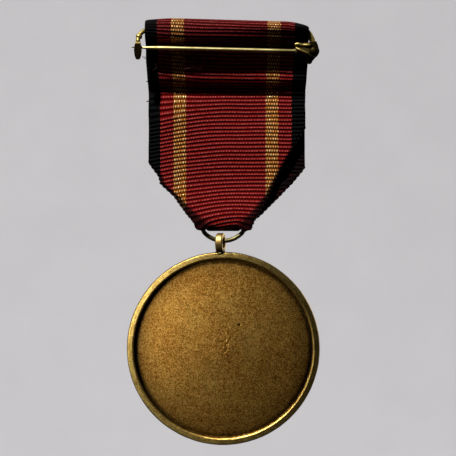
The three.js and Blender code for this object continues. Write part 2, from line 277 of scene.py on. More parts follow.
def point_attribute(thing, name, values):
    """One number at each point of a mesh, for its material."""
    attribute = thing.data.attributes.new(name, "FLOAT", "POINT")
    attribute.data.foreach_set("value", np.asarray(values, np.float32))


def points_of(thing):
    """A mesh's points, in millimetres."""
    points = np.empty(len(thing.data.vertices) * 3)
    thing.data.vertices.foreach_get("co", points)
    return points.reshape(-1, 3) / MM


def standing_out(thing):
    """How sharply the surface turns outwards at each point: above 0 on edges, below 0 in corners."""
    mesh = thing.data
    points = points_of(thing)
    normals = np.empty(len(mesh.vertices) * 3, np.float32)
    mesh.vertices.foreach_get("normal", normals)
    edges = np.empty(len(mesh.edges) * 2, np.int32)
    mesh.edges.foreach_get("vertices", edges)
    a, b = edges[0::2], edges[1::2]
    count = np.bincount(edges, minlength=len(points))[:, None].clip(1)

    def neighbours(values):
        total = np.zeros_like(values)
        np.add.at(total, a, values[b])
        np.add.at(total, b, values[a])
        return total / count

    step = lengths(points[a] - points[b]).mean()
    turn = -((neighbours(points) - points) * normals.reshape(-1, 3)).sum(1)[:, None] / step
    for _ in range(3):
        turn = (turn + neighbours(turn)) / 2
    return turn[:, 0]


def wavy(points, size, seed):
    """Smooth noise from -1 to 1 at each point, with features of about that size in millimetres."""
    offset = Vector((seed * 17.3, seed * 5.1, seed * 11.7))
    return np.array([noise.noise(Vector(p) / size + offset) for p in points])


# ---------- materials


class Nodes:
    """A short way to write a material's node tree."""

    def __init__(self, name):
        self.material = bpy.data.materials.new(name)
        self.material.use_nodes = True
        self.tree = self.material.node_tree
        self.shader = self.tree.nodes["Principled BSDF"]
        self.place = self.new("TexCoord").outputs["Object"]

    def put(self, target, value):
        """Links a socket, or sets a constant; colours come without their alpha."""
        if isinstance(value, bpy.types.NodeSocket):
            self.tree.links.new(value, target)
        else:
            target.default_value = (*value, 1) if target.type == "RGBA" else value

    def new(self, kind, **inputs):
        """A new node with inputs set by name, _ standing for a space."""
        node = self.tree.nodes.new("ShaderNode" + kind)
        for name, value in inputs.items():
            self.put(node.inputs[name.replace("_", " ")], value)
        return node

    def stretched(self, scale):
        return self.new("Mapping", Vector=self.place, Scale=scale).outputs["Vector"]

    def noise(self, size, detail=4, roughness=0.55, vector=None):
        """Noise whose features are about that size in millimetres."""
        node = self.new("TexNoise", Vector=vector or self.place, Scale=1 / (size * MM))
        node.inputs["Detail"].default_value = detail
        node.inputs["Roughness"].default_value = roughness
        return node.outputs["Fac"]

    def cells(self, size):
        """Cells of about that size in millimetres; their colours are random."""
        return self.new("TexVoronoi", Vector=self.place, Scale=1 / (size * MM)).outputs

    def spot(self, centre, radius):
        """1 at a point given in millimetres, falling to 0 at that radius."""
        node = self.tree.nodes.new("ShaderNodeVectorMath")
        node.operation = "DISTANCE"
        node.inputs[1].default_value = [c * MM for c in centre]
        self.put(node.inputs[0], self.place)
        return self.remap(node.outputs["Value"], radius * MM, radius * MM * 0.4)

    def attribute(self, name):
        node = self.new("Attribute")
        node.attribute_name = name
        return node.outputs["Fac"]

    def math(self, operation, *values):
        node = self.tree.nodes.new("ShaderNodeMath")
        node.operation = operation
        for socket, value in zip(node.inputs, values):
            self.put(socket, value)
        return node.outputs[0]

    def plus(self, a, b):
        return self.math("ADD", a, b)

    def times(self, a, b):
        return self.math("MULTIPLY", a, b)

    def remap(self, value, low, high, to_low=0.0, to_high=1.0):
        ends = {"From_Min": low, "From_Max": high, "To_Min": to_low, "To_Max": to_high}
        return self.new("MapRange", Value=value, **ends).outputs["Result"]

    def ramp(self, value, stops):
        node = self.new("ValToRGB", Fac=value)
        elements = node.color_ramp.elements
        while len(elements) < len(stops):
            elements.new(0.5)
        for element, (position, tone) in zip(elements, stops):
            element.position = position
            element.color = (*tone, 1)
        return node.outputs["Color"]

    def mix(self, share, a, b):
        node = self.tree.nodes.new("ShaderNodeMix")
        node.data_type = "RGBA"
        for name, value in (("Factor", share), ("A", a), ("B", b)):
            self.put(node.inputs[name], value)
        return node.outputs["Result"]

    def bump(self, height, depth, strength=1.0):
        """Bump of that depth in millimetres."""
        made = self.new("Bump", Height=height, Distance=depth * MM, Strength=strength)
        return made.outputs["Normal"]

    def finish(self, **sockets):
        for name, value in sockets.items():
            self.put(self.shader.inputs[name.replace("_", " ")], value)
        return self.material


def colour(*screen):
    """A linear colour from a screen's red, green and blue of 0 to 255."""
    return tuple(((c / 255 + 0.055) / 1.055) ** 2.4 if c > 10 else c / 255 / 12.92 for c in screen)


# Dark oxide for pits and patina in hollows; the darkening marks also mix it in as painted shade.
OXIDE_AND_PAINTED_SHADE = colour(22, 15, 8)


def struck_bronze():
    """Satin bronze: a fine struck grain, brown patina that is darkest in the corners, rubbed rims, pits, and
    painted shade where the disc's marks ask for it.
    """
    n = Nodes("struck_bronze")
    cloudy = n.noise(8.0, detail=3)
    mottled = n.noise(1.1, detail=6, roughness=0.7)
    fine = n.noise(0.16, detail=3, roughness=0.7)
    grit = n.cells(0.2)["Color"]
    grain = n.math("MULTIPLY_ADD", grit, 0.3, n.times(fine, 0.7))
    patina = n.plus(n.times(cloudy, 0.55), n.times(mottled, 0.45))
    tone = n.ramp(
        n.remap(patina, 0.36, 0.64),
        [(0.0, colour(196, 132, 52)), (0.45, colour(214, 156, 66)), (1.0, colour(228, 178, 86))],
    )
    speckled = n.mix(n.remap(grain, 0.50, 0.66), tone, colour(255, 208, 112))
    speckled = n.mix(n.remap(grain, 0.50, 0.36, 0.0, 0.85), speckled, colour(116, 64, 12))

    pits = n.remap(n.cells(0.46)["Distance"], 0.22, 0.46, 1.0, 0.0)
    pits = n.times(pits, n.times(n.attribute("pitted"), n.remap(mottled, 0.40, 0.50)))
    dent = n.spot((DISC_X + 3.05, DISC_LOW[1] + 0.1, DISC_Z + 4.55), 0.42)
    pits = n.math("MAXIMUM", pits, dent)
    speckled = n.mix(n.times(pits, 0.85), speckled, OXIDE_AND_PAINTED_SHADE)

    rubbed = n.times(n.attribute("rubbed"), n.remap(grain, 0.40, 0.56, 0.2, 1.0))
    worn_and_painted_shade = n.mix(rubbed, speckled, colour(226, 202, 116))
    # Mixed to dark oxide: patina in the field's corner, and painted shade from the rim's shadow and on the
    # rim's side turned from the light.
    worn_and_painted_shade = n.mix(n.times(n.attribute("black_and_painted_shade"), 0.97), worn_and_painted_shade, OXIDE_AND_PAINTED_SHADE)
    rough = n.remap(n.plus(mottled, grain), 0.7, 1.3, 0.30, 0.37)
    height = n.math("SUBTRACT", n.times(fine, 1.8), n.times(pits, 1.6))
    return n.finish(Base_Color=worn_and_painted_shade, Metallic=1.0, Roughness=rough, Normal=n.bump(height, 0.024))


def tarnished_brass(name, bright, dark, base_roughness, grain_size=0.5, stretch=(1, 1, 1)):
    """Drawn or folded brass, clean on its edges and brown where fingers don't reach; black where a piece
    marks it, as a dark joint or as painted shade.
    """
    n = Nodes(name)
    cloudy = n.noise(1.8, detail=4, roughness=0.6)
    drawn = n.noise(grain_size, detail=4, roughness=0.6, vector=n.stretched(stretch))
    tarnish_and_painted_shade = n.remap(n.plus(cloudy, n.times(drawn, 0.5)), 0.55, 0.95)
    tone = n.mix(tarnish_and_painted_shade, bright, dark)
    clean = tuple(min(1.0, c * 1.3) for c in bright)
    tone = n.mix(n.times(n.attribute("rubbed"), 0.75), tone, clean)
    # Darkened where a piece marks it: a dark joint on the eye, painted shade on the catch, the hinge, the
    # rivet and the pin.
    black = n.times(n.attribute("black_and_painted_shade"), n.remap(drawn, 0.25, 0.6, 1.0, 0.96))
    tone = n.mix(black, tone, OXIDE_AND_PAINTED_SHADE)
    rough = n.remap(n.plus(drawn, tarnish_and_painted_shade), 0.4, 1.6, base_roughness, base_roughness + 0.2)
    return n.finish(Base_Color=tone, Metallic=1.0, Roughness=rough, Normal=n.bump(drawn, 0.012, 0.8))


# Where the red, gold and outer red stripes end, from the ribbon's middle, as shares of half its width.
STRIPE_ENDS = (0.507, 0.668, 0.838)
WARP_PITCH = 0.30  # of the fine threads that run along the ribbon
LUREX_PITCH = 0.46


def striped_rep():
    """Ribbed silk ribbon: fine warp threads that pass over and under each rib, and gold foil stripes; painted
    highlights on the rib crests and painted shade in the valleys and where the ribbon is marked.
    """
    n = Nodes("striped_rep")
    across = n.attribute("across_mm")
    rib = n.attribute("rib_number")
    uneven = n.math("MULTIPLY_ADD", n.noise(1.2), 0.16, -0.08)
    share = n.math("DIVIDE", n.math("ABSOLUTE", n.plus(across, uneven)), RIBBON_WIDTH / 2)
    past_red, past_gold, black = (n.math("GREATER_THAN", share, end) for end in STRIPE_ENDS)
    gold = n.math("SUBTRACT", past_red, past_gold)

    row = n.math("FLOOR", n.plus(rib, 0.5))
    odd = n.math("FLOORED_MODULO", row, 2.0)
    crest = n.math("ABSOLUTE", n.math("COSINE", n.times(rib, math.pi)))

    def threads(pitch):
        """1 in the middle of a thread that lies over this rib, 0 between threads."""
        phase = n.math("MULTIPLY_ADD", across, 2 * math.pi / pitch, n.times(odd, math.pi))
        return n.math("MULTIPLY_ADD", n.math("SINE", phase), 0.5, 0.5)

    warp = threads(WARP_PITCH)
    foil = threads(LUREX_PITCH)
    fray = n.noise(0.35, detail=3, roughness=0.7)
    cloudy = n.noise(5.0, detail=2)

    red_deep, red_lit, red_painted_highlight = colour(82, 0, 0), colour(168, 0, 2), colour(255, 150, 142)
    body = n.remap(n.plus(n.times(warp, 0.5), n.times(fray, 0.6)), 0.2, 1.0)
    red = n.mix(body, red_deep, red_lit)
    red = n.mix(n.remap(cloudy, 0.35, 0.7, 0.0, 0.3), red, red_deep)
    # Painted highlight: pale pink on the warp threads at the rib crests.
    painted_highlights = n.times(n.remap(warp, 0.6, 0.9), n.remap(crest, 0.91, 0.97))
    red = n.mix(n.times(painted_highlights, n.remap(fray, 0.36, 0.6, 0.1, 0.95)), red, red_painted_highlight)
    # Painted shade in the valleys between the ribs, deeper on the hump.
    closed = n.math("SUBTRACT", crest, n.times(n.attribute("hump_painted_shade"), 0.3))
    red = n.mix(n.remap(closed, 0.3, 0.75, 0.95, 0.0), red, colour(50, 0, 0))
    dark = n.mix(n.remap(n.times(warp, fray), 0.3, 0.6), colour(1, 1, 2), colour(12, 16, 15))

    # Gold foil threads on the rib crests: their pale tone is partly the foil's colour and partly painted
    # highlight; the darker ground shows between them and, as painted shade, in the valleys.
    glint = n.times(n.remap(foil, 0.42, 0.66), n.remap(crest, 0.62, 0.85))
    foil_tone = n.mix(n.remap(n.cells(0.32)["Color"], 0.2, 0.8), colour(214, 146, 52), colour(255, 232, 164))
    ground = n.mix(n.remap(fray, 0.35, 0.65), colour(84, 26, 0), colour(158, 86, 26))
    gold_tone = n.mix(glint, ground, foil_tone)

    tone = n.mix(black, n.mix(gold, red, gold_tone), dark)
    # Painted shade where the ribbon's mark asks for it.
    tone = n.mix(n.times(n.attribute("ribbon_painted_shade"), 0.95), tone, colour(14, 2, 3))
    metal = n.times(n.times(glint, gold), 0.35)
    rough = n.math("SUBTRACT", 0.62, n.times(metal, 0.9))
    relief = n.plus(n.times(warp, 0.5), n.times(fray, 0.5))
    relief = n.plus(relief, n.times(n.times(foil, gold), 0.7))
    return n.finish(
        Base_Color=tone,
        Metallic=metal,
        Roughness=rough,
        Specular_IOR_Level=0.04,
        Normal=n.bump(relief, 0.07, 0.9),
    )


def sewing_thread():
    """Dull red fibre, black where the attribute says so."""
    n = Nodes("sewing_thread")
    fibre = n.noise(0.12, detail=3, vector=n.stretched((1, 3, 3)))
    tone = n.mix(n.remap(fibre, 0.35, 0.65), colour(40, 6, 10), colour(96, 18, 22))
    tone = n.mix(n.attribute("black_and_painted_shade"), tone, colour(3, 3, 4))
    return n.finish(Base_Color=tone, Roughness=0.7, Normal=n.bump(fibre, 0.02, 0.8))


def studio_paper():
    """Pale paper, a little darker where it faces the key light, so that the bend doesn't show."""
    n = Nodes("studio_paper")
    fibre = n.noise(40.0, detail=5)
    upright = n.mix(n.remap(fibre, 0.3, 0.7), colour(209, 208, 213), colour(213, 212, 217))
    facing_key = n.mix(n.remap(fibre, 0.3, 0.7), colour(167, 166, 170), colour(171, 170, 174))
    tone = n.mix(n.attribute("turned_away"), facing_key, upright)
    return n.finish(Base_Color=tone, Roughness=0.9, Normal=n.bump(fibre, 0.4, 0.2))


# ---------- disc

FIELD_RADIUS = DISC_RADIUS - 1.42  # where the rim's inner wall meets the field
RIM_START = FIELD_RADIUS + 0.20  # where the wall's bevel meets the rim's crown
RIM_WIDTH = DISC_RADIUS - RIM_START
RIM_CREST = DISC_RADIUS - 0.65
FRONT_FIELD_RADIUS = DISC_RADIUS - 1.25
BACK_RECESS = 0.9
BACK_DOME = 0.95  # how far the field's middle stands above its edge
FRONT_RECESS = 0.55
DISC_SEGMENTS = 540
PAINTED_SHADE_SIDE = math.radians(22)  # the side of the rim painted darker, as painted shade, turned from the light; from +X towards +Z
WORN_SIDE = math.radians(242)  # where it is worn flattest


def middle_flaws(points):
    """1 where the strike left the middle of the back pitted, a little above the centre."""
    return np.exp(-((points[:, 0] - 0.3) ** 2 / 1.1 + (points[:, 2] - 1.6) ** 2 / 6.0))


def field_heights(points, radius):
    """How far the back's field stands above its flat plane: a low cone with a dome over it, and its flaws."""
    share = np.clip(radius / FIELD_RADIUS, 0, 1)
    height = BACK_DOME * (0.75 * (1 - share**2) + 0.25 * (1 - np.sqrt(share**2 + 0.004)))
    height += 0.012 * wavy(points, 4.5, 1) + 0.004 * wavy(points, 0.8, 2)
    height += 0.045 * middle_flaws(points) * wavy(points, 0.5, 3)
    for x, z, length in ((12.6, -4.6, 0.5), (13.5, -5.0, 0.35), (14.1, -4.4, 0.3)):
        height += 0.07 * np.exp(-((points[:, 0] - x) ** 2 / length**2 + (points[:, 2] - z) ** 2 / 0.08**2))
    return height


def star_height(x, z, outer=6.2, inner=2.5):
    """A five-pointed star with a ridge down each arm; 0 outside it."""
    angle = np.arctan2(x, z)
    radius = np.hypot(x, z)
    sector = math.pi / 5
    folded = np.abs((angle + sector) % (2 * sector) - sector)
    edge_x, edge_z = unit(np.array([inner * math.cos(sector) - outer, inner * math.sin(sector)]))
    px, pz = radius * np.cos(folded), radius * np.sin(folded)
    return np.clip(pz * edge_x - (px - outer) * edge_z, 0, None)


def leaf_height(x, z, cx, cz, turn, length=3.5, width=1.3):
    """A pointed leaf with a raised vein; 0 outside it."""
    along = (x - cx) * math.cos(turn) + (z - cz) * math.sin(turn)
    beside = -(x - cx) * math.sin(turn) + (z - cz) * math.cos(turn)
    half = width / 2 * np.clip(1 - (2 * along / length) ** 2, 0, None)
    body = np.clip(half - np.abs(beside), 0, None)
    vein = 0.10 * np.exp(-((beside / 0.07) ** 2)) * (body > 0.02)
    return np.clip(body * 1.5, 0, 0.22) + vein


def relief_heights(points, radius):
    """The front's star and wreath, as struck relief."""
    x, z = points[:, 0], points[:, 2]
    height = np.clip(star_height(x, z) * 0.42, 0, 0.42)
    wreath_radius, leaves = 13.0, 9
    for side in (-1, 1):
        for i in range(leaves):
            around = math.radians(-90 + side * (14 + i * 17))
            for lean in (-1, 1):
                turn = around + side * math.pi / 2 + lean * 0.5
                reach = wreath_radius - lean * side * 0.85
                leaf = leaf_height(x, z, reach * math.cos(around), reach * math.sin(around), turn)
                height = np.maximum(height, leaf)
    off_top = np.abs(np.arctan2(x, z)) > math.radians(32)
    stem = 0.16 * bell(radius, wreath_radius, 0.22) * off_top
    return np.maximum(height, stem) + 0.006 * wavy(points, 1.5, 6)


def disc_profile():
    """Radius and height of the disc's rings, part by part from the back's middle to the front's."""
    rear, front = -DISC_HALF_THICKNESS, DISC_HALF_THICKNESS
    back = [(FIELD_RADIUS * s, rear + BACK_RECESS) for s in np.linspace(0.008, 1, 100)]
    wall = [(0.03, 0.87), (0.05, 0.76), (0.08, 0.36), (0.10, 0.21), (0.13, 0.165), (0.20, 0.115)]
    wall = [(FIELD_RADIUS + out, rear + up) for out, up in wall]
    crown = []
    for s in np.linspace(0.04, 1, 18):
        rise = 0.11 - 0.2 * (s - 0.15) - 0.3 * max(0.0, (s - 0.8) / 0.2) ** 2
        if s < 0.15:
            rise = 0.11 * (1 - (1 - s / 0.15) ** 1.6)
        crown.append((RIM_START + RIM_WIDTH * s, rear + 0.115 - rise))
    edge = [(DISC_RADIUS, rear + 0.85), (DISC_RADIUS, 0.0), (DISC_RADIUS, front - 0.45)]
    front_rim = [(0.06, 0.2), (0.22, 0.05), (0.5, 0), (0.85, 0.02), (1.02, 0.14), (1.1, 0.35)]
    front_rim.append((1.2, FRONT_RECESS))
    front_rim = [(DISC_RADIUS - inwards, front - down) for inwards, down in front_rim]
    relief = [(FRONT_FIELD_RADIUS * s, front - FRONT_RECESS) for s in np.linspace(1, 0.006, 130)]
    return back, wall, crown, edge, front_rim, relief


def disc():
    """The struck disc: its turned profile, uneven and worn, with the flaws of the field and the relief."""
    parts = disc_profile()
    profile = np.concatenate(parts)
    ends = [int(rings) * DISC_SEGMENTS for rings in np.cumsum([len(part) for part in parts])]
    back, rim = slice(0, ends[0]), slice(ends[0], ends[4])
    crown, front = slice(ends[1], ends[2]), slice(ends[4], ends[5])
    points, faces = lathe([(0, 0), *profile, (0, 0)], DISC_SEGMENTS)
    radius = np.repeat(profile[:, 0], DISC_SEGMENTS)
    turn = np.tile(np.linspace(0, 2 * math.pi, DISC_SEGMENTS, endpoint=False), len(profile))
    on_circle = np.stack([np.cos(turn), np.zeros_like(turn), np.sin(turn)], 1) * DISC_RADIUS

    points[back, 1] -= field_heights(points[back], radius[back])
    points[front, 1] += relief_heights(points[front], radius[front])
    uneven = 0.030 * wavy(on_circle[rim], 2.6, 7)
    uneven += 0.014 * wavy(on_circle[rim] + points[rim] * 0.4, 0.7, 8)
    points[rim, 0] += uneven * np.cos(turn[rim])
    points[rim, 2] += uneven * np.sin(turn[rim])
    points[rim, 1] += 0.02 * wavy(points[rim], 1.1, 9)
    outwards = np.clip((radius[crown] - RIM_START) / RIM_WIDTH - 0.15, 0, 0.65)
    points[crown, 1] -= 0.2 * outwards * np.clip(np.cos(turn[crown] - WORN_SIDE), 0, 1)
    points[-2:, 1] = points[0, 1], points[-3, 1]
    struck = mesh_object("disc_struck", points + [DISC_X, HANG_Y, DISC_Z], faces, struck_bronze())
    mark_disc_wear_and_shade(struck, points[:-2], radius, turn, ends)
    return struck


def mark_disc_wear_and_shade(struck, points, radius, turn, ends):
    """Where the disc is rubbed bright, tarnished and pitted, and where painted shade darkens it; ends says
    where each profile part ends.
    """
    back, rim, outer_rim = slice(0, ends[0]), slice(ends[0], ends[4]), slice(ends[1], ends[4])
    front = slice(ends[4], ends[5])
    bevel = ends[0] + 3 * DISC_SEGMENTS  # the wall's upper rings
    rubbed = np.exp(-(((radius - RIM_CREST) / 0.6) ** 4))
    rubbed[bevel : bevel + 4 * DISC_SEGMENTS] = 1
    relief_foot = DISC_HALF_THICKNESS - FRONT_RECESS + 0.12
    rubbed[front] = np.clip(points[front, 1] - relief_foot, 0, 0.3) / 0.3

    inwards = FIELD_RADIUS - radius
    # Patina in the field's corner, and a broader painted shade inwards from the rim, wider on some sides, as
    # the rim's shadow falls.
    reach_in = 0.45 + 0.15 * np.cos(2 * turn + math.radians(30)) - 0.08 * np.cos(turn + math.radians(30))
    tarnish_and_painted_shade = 0.5 * np.exp(-((inwards / 0.8) ** 4)) + reach_in * np.exp(-((inwards / 2.9) ** 2))
    tarnish_and_painted_shade[bevel:] = 0
    # A dark band along the outer edge.
    tarnish_and_painted_shade[rim] += 0.85 * bell(radius[rim], DISC_RADIUS, 0.16)
    # Painted shade: the rim's outer slope darker on the side turned from the light.
    away = 0.5 + 0.5 * np.cos(turn[outer_rim] - PAINTED_SHADE_SIDE)
    tarnish_and_painted_shade[outer_rim] = np.maximum(tarnish_and_painted_shade[outer_rim], 0.68 * away * (points[outer_rim, 1] < 0))
    tarnish_and_painted_shade[front] = 0.7 * bell(radius[front], FRONT_FIELD_RADIUS, 0.5)

    pitted = np.zeros(len(points))
    pitted[back] = middle_flaws(points[back])
    for name, values in (("rubbed", rubbed), ("black_and_painted_shade", tarnish_and_painted_shade), ("pitted", pitted)):
        point_attribute(struck, name, np.append(values, [0, 0]))


# ---------- suspension


def eye():
    """A cast lug with softened edges, brazed to the disc's edge."""
    centre_x = (EYE_LOW[0] + EYE_HIGH[0]) / 2
    turn = math.radians(-12)
    half, hole, outer, bevel, lead_in = 0.70, 1.1, 1.95, 0.2, 0.18
    centre_z = EYE_HIGH[2] - outer
    profile = [(hole, -half + lead_in), (hole + lead_in, -half)]
    profile += [(outer - bevel, -half), (outer, -half + bevel)]
    profile += [(r, -x) for r, x in profile[::-1]]
    angles = np.linspace(0, 2 * math.pi, 72, endpoint=False)
    lug = np.array([[x, r * math.cos(a), r * math.sin(a)] for a in angles for r, x in profile])
    lug_faces = grid_faces(len(angles), len(profile), wrap_rows=True, wrap_columns=True)
    spin = np.array([[math.cos(turn), -math.sin(turn), 0], [math.sin(turn), math.cos(turn), 0], [0, 0, 1]])
    lug = lug @ spin.T + [centre_x, HANG_Y, centre_z]
    edge_z = DISC_Z + math.sqrt(DISC_RADIUS**2 - (centre_x - DISC_X) ** 2)
    foot_path = [[centre_x, HANG_Y, edge_z - 0.25], [centre_x, HANG_Y, edge_z + 0.55]]
    foot, foot_faces = rod(foot_path, 8, [0, 1], [1.15, 0.7], 24)
    foot[:, 1] = HANG_Y + (foot[:, 1] - HANG_Y) * 1.05
    material = tarnished_brass("eye_brass", colour(214, 184, 112), colour(120, 86, 42), 0.40, 0.4)
    lug = fused("eye_lug", [(lug, lug_faces), (foot, foot_faces)], material, 0.06, 3)
    solder = np.clip((edge_z + 0.75 - points_of(lug)[:, 2]) / 0.5, 0, 0.92)
    point_attribute(lug, "black_and_painted_shade", solder)
    return lug


def ring():
    """A wire ring pulled into a flat lens, with its ends butted at the top."""
    wire = 0.425
    low = RING_LOW[2] + wire
    height = RING_HIGH[2] - RING_LOW[2] - 2 * wire
    middle_x = (RING_LOW[0] + RING_HIGH[0]) / 2
    lower, upper, end = 5.0, 9.0, 1.1
    upper_centre = height - upper
    to_lower, to_upper = lower - end, upper - end
    end_z = (to_upper**2 - to_lower**2 + lower**2 - upper_centre**2) / (2 * (lower - upper_centre))
    end_x = math.sqrt(to_lower**2 - (end_z - lower) ** 2)
    lower_turn = math.degrees(math.atan2(end_z - lower, end_x))
    upper_turn = math.degrees(math.atan2(end_z - upper_centre, end_x))
    outline = (
        arc(0, upper_centre, upper, 90.7, 180 - upper_turn, 8)
        + arc(-end_x, end_z, end, 180 - upper_turn, 180 - lower_turn, 10)[1:]
        + arc(0, lower, lower, 180 - lower_turn, 360 + lower_turn, 20)[1:]
        + arc(end_x, end_z, end, lower_turn, upper_turn, 10)[1:]
        + arc(0, upper_centre, upper, upper_turn, 89.3, 8)[1:]
    )
    path = spline([[middle_x + x, HANG_Y, low + z] for x, z in outline], 220)
    points, faces = tube(path, wire, 20)
    material = tarnished_brass("ring_brass", colour(140, 130, 88), colour(58, 50, 28), 0.36, 0.5)
    return mesh_object("ring_wire", points, faces, material)


# ---------- ribbon

RIB_PITCH = 0.745
RIB_SAMPLES = 6
CLOTH_VALLEY = 0.18  # thickness between two ribs
RIB_HEIGHT = 0.19
COLUMNS = 118
FOLD_RADIUS = 0.31

# The cloth's outer face as Y and Z points round the loop: from the bottom fold up the front,
# over the brooch bar, down the back and through the sewn pinch.
CLOTH_LOOP = [
    (6.1, -34.7), (7.5, -33.85), (7.93, -32.4), (7.75, -30.5), (7.35, -27.0), (7.25, -18.0), (7.2, -7.3),
    (7.25, -1.6), (6.8, 1.6), (5.15, 4.2), (2.95, 5.45), (0.8, 5.45), (-0.7, 4.6), (-1.1, 3.2),
    (-0.62, 1.75), (0.35, 1.2), (1.7, 0.75), (2.5, -0.5), (3.0, -1.9), (3.5, -3.3), (3.8, -4.6),
    (3.95, -5.7), (4.5, -6.5), (5.5, -7.2), (5.75, -7.7), (5.2, -8.3), (4.85, -9.6), (4.85, -16.0),
    (4.9, -26.0), (4.45, -30.5), (4.25, -32.4), (4.7, -33.85),
]

# Where the sides are folded in, as (z, left x, right x) down each layer.
BACK_FOLDS = [
    (8, -15.6, 15.6), (-14.0, -15.6, 15.6), (-15.6, -15.6, 14.1), (-18.9, -15.5, 12.2), (-21.4, -14.8, 10.8),
    (-22.9, -13.6, 10.0), (-24.2, -12.6, 9.4), (-25.6, -12.2, 8.7), (-28.1, -9.5, 7.5), (-30.1, -8.1, 6.3),
    (-32.6, -6.2, 4.8), (-33.6, -5.5, 4.3), (-34.3, -3.7, 2.3), (-35, -3.4, 2.0),
]
FRONT_FOLDS = [
    (8, -15.6, 15.6), (-20.4, -15.6, 15.6), (-21.4, -14.85, 15.5), (-22.9, -13.7, 14.3),
    (-24.2, -12.75, 13.2), (-25.6, -12.4, 12.05), (-28.1, -9.7, 9.55), (-30.1, -8.3, 7.55),
    (-32.6, -6.5, 5.0), (-33.1, -5.9, 4.5), (-33.7, -3.9, 2.3), (-35, -3.4, 2.0),
]

# How the ribs of the back layer bow: (z, half span, drop at the left, drop at the right), from a
# crest a little right of the middle.
RIB_CREST_X = 2.2
BACK_BOW = [
    (5.0, 15.0, -0.3, 0.45), (0.0, 15.0, -0.7, 0.6), (-6.0, 15.0, -0.9, 0.5), (-9.0, 15.0, 0.0, 0.25),
    (-12.0, 15.0, 1.6, 0.1), (-18.0, 15.0, 1.5, 0.0), (-25.0, 12.0, 1.1, 0.15), (-29.0, 9.0, 0.9, 0.5),
    (-31.5, 6.0, 0.9, 0.9), (-33.0, 5.0, 1.0, 1.2), (-34.3, 5.0, 0.2, 0.2),
]


def keyed(keys, z):
    """The keyed values at each z, smoothly."""
    table = np.array(keys)[::-1]
    return [np.interp(z, table[:, 0], table[:, i]) for i in range(1, table.shape[1])]


def rib_bow(row_at, row_z, across, on_back):
    """How far round the loop each point lags behind the middle of its rib."""
    span, left_drop, right_drop = keyed(BACK_BOW, row_z)
    reach = (across - RIB_CREST_X) / span
    bow = np.where(reach < 0, left_drop, right_drop) * np.clip(reach, -1.3, 1.3) ** 2
    bow = np.where(on_back, bow, -0.35 * (across / 15) ** 2)
    return bow + 0.16 * wavy(np.stack([across, row_z * 1.6, np.where(on_back, 0.0, 40.0)], 1), 7.0, 14)


def turned_in(across, left, right):
    """The x of each point, how deep it lies under the fold and how far it has turned over."""
    limit = np.where(across < 0, left, right)
    beyond = np.abs(across) - limit
    angle = np.clip(beyond / FOLD_RADIUS, 0, math.pi)
    flap = np.clip(beyond - math.pi * FOLD_RADIUS, 0, None)
    room = 0.85 * np.abs(np.sign(across) * limit - (right - left) / 2)
    longest = RIBBON_WIDTH / 2 - limit - math.pi * FOLD_RADIUS
    flap *= np.minimum(1, room / np.maximum(longest, 1e-3))
    folded = limit + FOLD_RADIUS * np.sin(angle) - flap
    x = np.sign(across) * np.where(beyond > 0, folded, np.abs(across))
    return x, np.where(beyond > 0, FOLD_RADIUS * (1 - np.cos(angle)), 0), angle


def sag(x, z):
    """How far the back layer has sunk in and bulged out below the pinch and at the fold."""
    depth = 0.30 * bell(x, -11.2, 3.2) * bell(z, -13.0, 3.4)
    depth -= 0.22 * bell(x, 4.0, 6.0) * bell(z, -12.0, 2.6)
    return depth + 0.10 * bell(x, 1.0, 3.0) * bell(z, -31.0, 1.2)


def slumped(x, y, z):
    """The points with the hump lower to the right, the fold's corners raised and the hump's lip sunk."""
    hump = past(z, 2.6, 1.6)
    z -= hump * (0.75 * past(x, -9, 24) + 0.9 * past(x, 10.5, 4.5) ** 2)
    z -= hump * 0.35 * before(x, -10, 5) ** 1.5
    corner = np.clip((np.abs(x - DISC_X) - 2.7) / 1.4, 0, 1) * before(z, -32.3, 1.3)
    z -= 0.95 * corner * before(y, 5.4, 0.6)
    lip = past(x, -4, 18) * (y < 2)
    y -= lip * 0.6 * bell(z, 3.9, 0.9)
    y += lip * 0.4 * bell(z, 2.2, 0.8)
    return x * (1 + 0.028 * past(z, -9, 7)), y, z


def painted_ribbon_shade(x, y, z, left, right, on_back, inner_face):
    """Painted shade along the folded sides near the bottom, inside the folded flap, under the hump and
    lightly over it.
    """
    dark_width = np.interp(z, [-34.5, -33.0, -31.0, -28.0, -20.0], [3.4, 2.6, 1.3, 0.5, 0.1])
    margin = np.minimum(x + left, right - x) / dark_width
    sides = np.clip((1.15 - margin) / 0.6, 0, 0.98) * (z < -16) * on_back
    inner = inner_face & ~on_back & (z < -20) & (x > np.interp(z, [-33.0, -20.0], [2.0, 9.0]))
    shade_top = np.interp(x, [-12, 0, 12], [1.3, 1.9, 2.9])
    under_hump = 0.85 * before(z, shade_top, 0.5) * np.clip(z + 1.5, 0, 1) * (y < 2.5)
    under_hump = np.maximum(under_hump, 0.26 * on_back * np.clip(z - 1, 0, 1))
    return np.maximum(np.where(inner, 0.95, sides), under_hump)


